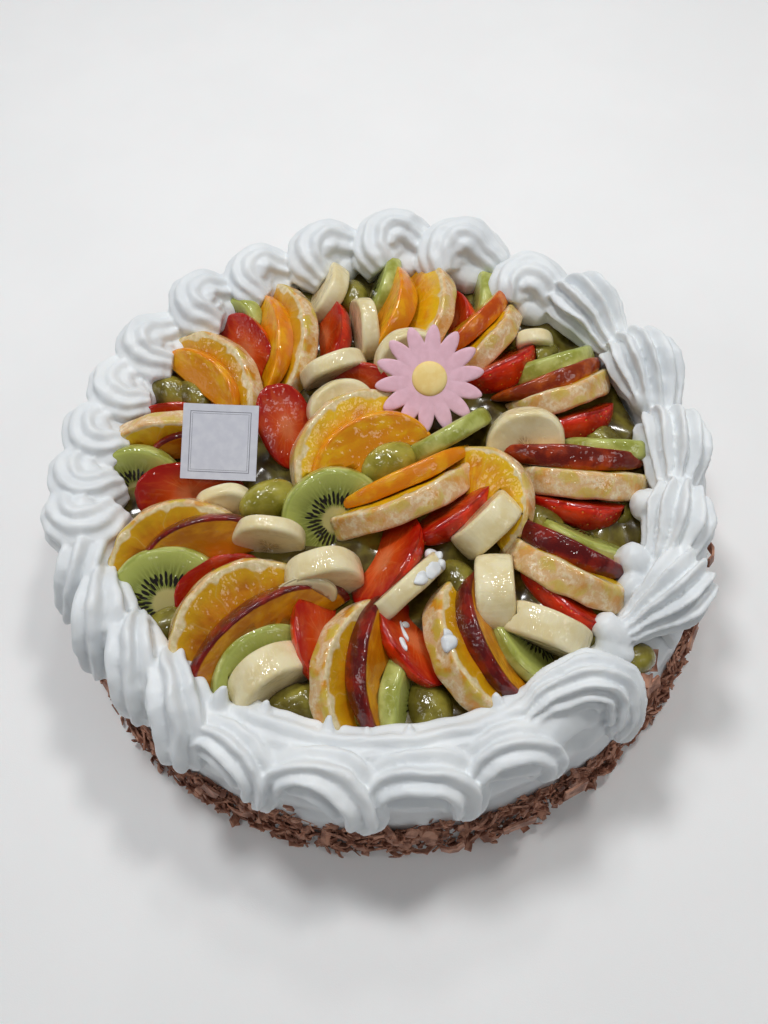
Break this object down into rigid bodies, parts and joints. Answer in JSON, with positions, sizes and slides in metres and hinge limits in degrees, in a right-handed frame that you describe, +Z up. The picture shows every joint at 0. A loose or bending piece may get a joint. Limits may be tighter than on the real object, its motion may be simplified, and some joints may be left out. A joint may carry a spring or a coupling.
{
  "type": "fruit sponge cake",
  "caption": "Round cream-coated fruit sponge cake: piped cream border, glazed fruit laid in a fan, chocolate flakes round the side, a sugar daisy and a small card.",
  "frame": {"origin": "centre of the cake's underside, on the surface it stands on", "axes": "+Z up through the cake, -Y towards the front, where the daisy and the card face, +X to the right seen from the front"},
  "size_m": [0.2845, 0.2833, 0.0812],
  "materials": {
    "cake_cream": "smooth cream coat over sponge, chocolate flakes round the lower side; stands in for food",
    "whipped_cream": "soft satin piped cream; stands in for food",
    "banana": "pale yellow banana slices under a clear glaze; stands in for food",
    "kiwifruit": "green kiwifruit slices with dark seeds under a clear glaze; stands in for food",
    "citrus": "orange half-slices and nectarine wedges under a clear glaze; stands in for food",
    "strawberry": "cut strawberries under a clear glaze; stands in for food",
    "grape": "green grape under a clear glaze; stands in for food",
    "sugar_paste": "pale pink sugar flower with a yellow heart; stands in for food",
    "card": "matt printed card"
  },
  "bodies": {
    "root": {"cake_body": "cake_cream", "cream_border_1": "whipped_cream", "cream_border_2": "whipped_cream", "cream_border_3": "whipped_cream", "cream_border_4": "whipped_cream", "banana_01": "banana", "banana_02": "banana", "banana_03": "banana", "banana_04": "banana", "banana_05": "banana", "banana_06": "banana", "banana_07": "banana", "banana_08": "banana", "banana_09": "banana", "banana_10": "banana", "banana_11": "banana", "kiwifruit_01": "kiwifruit", "kiwifruit_02": "kiwifruit", "kiwifruit_03": "kiwifruit", "kiwifruit_04": "kiwifruit", "kiwifruit_05": "kiwifruit", "kiwifruit_06": "kiwifruit", "kiwifruit_07": "kiwifruit", "kiwifruit_08": "kiwifruit", "kiwifruit_09": "kiwifruit", "kiwifruit_10": "kiwifruit", "kiwifruit_11": "kiwifruit", "kiwifruit_12": "kiwifruit", "citrus_nectarine_01": "citrus", "citrus_nectarine_02": "citrus", "citrus_nectarine_03": "citrus", "citrus_nectarine_04": "citrus", "citrus_nectarine_05": "citrus", "citrus_nectarine_06": "citrus", "citrus_nectarine_07": "citrus", "citrus_nectarine_08": "citrus", "citrus_nectarine_09": "citrus", "citrus_nectarine_10": "citrus", "citrus_nectarine_11": "citrus", "citrus_nectarine_12": "citrus", "citrus_nectarine_13": "citrus", "citrus_01": "citrus", "strawberry_01": "strawberry", "strawberry_02": "strawberry", "strawberry_03": "strawberry", "strawberry_04": "strawberry", "strawberry_05": "strawberry", "strawberry_06": "strawberry", "strawberry_07": "strawberry", "strawberry_08": "strawberry", "strawberry_09": "strawberry", "strawberry_10": "strawberry", "strawberry_11": "strawberry", "strawberry_12": "strawberry", "strawberry_13": "strawberry", "strawberry_14": "strawberry", "strawberry_15": "strawberry", "grape_01": "grape", "daisy": "sugar_paste", "card": "card"}
  },
  "joints": []
}
